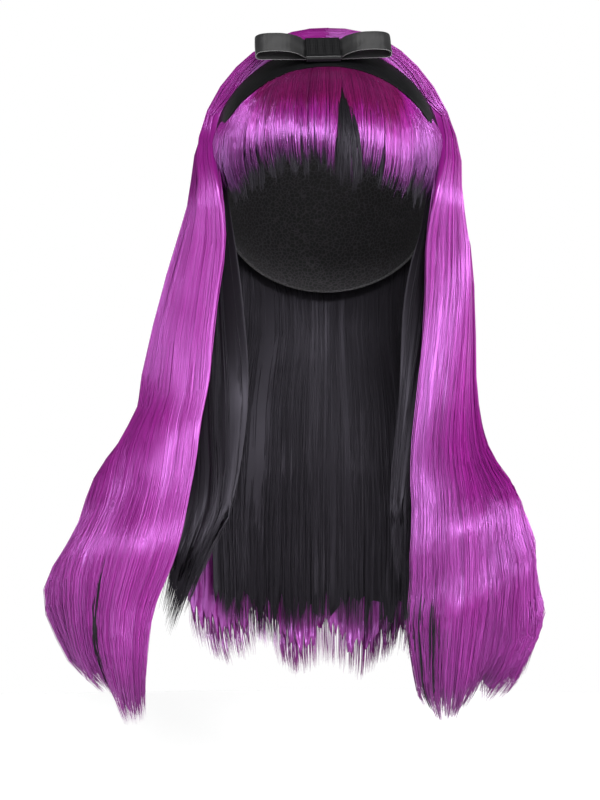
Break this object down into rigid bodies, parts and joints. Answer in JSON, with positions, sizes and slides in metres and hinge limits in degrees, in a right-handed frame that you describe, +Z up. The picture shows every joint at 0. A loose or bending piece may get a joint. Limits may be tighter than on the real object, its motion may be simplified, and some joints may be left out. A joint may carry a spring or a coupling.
{
  "type": "long costume wig",
  "caption": "Long straight two-tone costume wig, purple over a black under-layer, with a full fringe, a black satin headband and a flat bow; worn on the head.",
  "frame": {"origin": "inside of the cap's crown, where the top of the head sits", "axes": "+Z up, -Y the way the face looks, +X to the right as seen from the front"},
  "size_m": [0.3559, 0.2373, 0.505],
  "materials": {
    "purple_hair": "glossy synthetic fibre",
    "black_hair": "glossy synthetic fibre",
    "satin": "black satin",
    "cap_net": "matt black net"
  },
  "bodies": {
    "root": {"cap_left": "cap_net", "cap_right": "cap_net", "cap_front": "cap_net", "cap_back": "cap_net", "headband": "satin", "bow_loops": "satin", "bow_knot": "satin", "left_hair": "purple_hair", "right_hair": "purple_hair", "back_hair": "purple_hair", "fringe_left": "purple_hair", "fringe_right": "purple_hair", "fringe_streak": "black_hair", "fringe_under": "black_hair", "left_under_hair": "black_hair", "right_under_hair": "black_hair", "back_under_hair": "black_hair"}
  },
  "joints": []
}
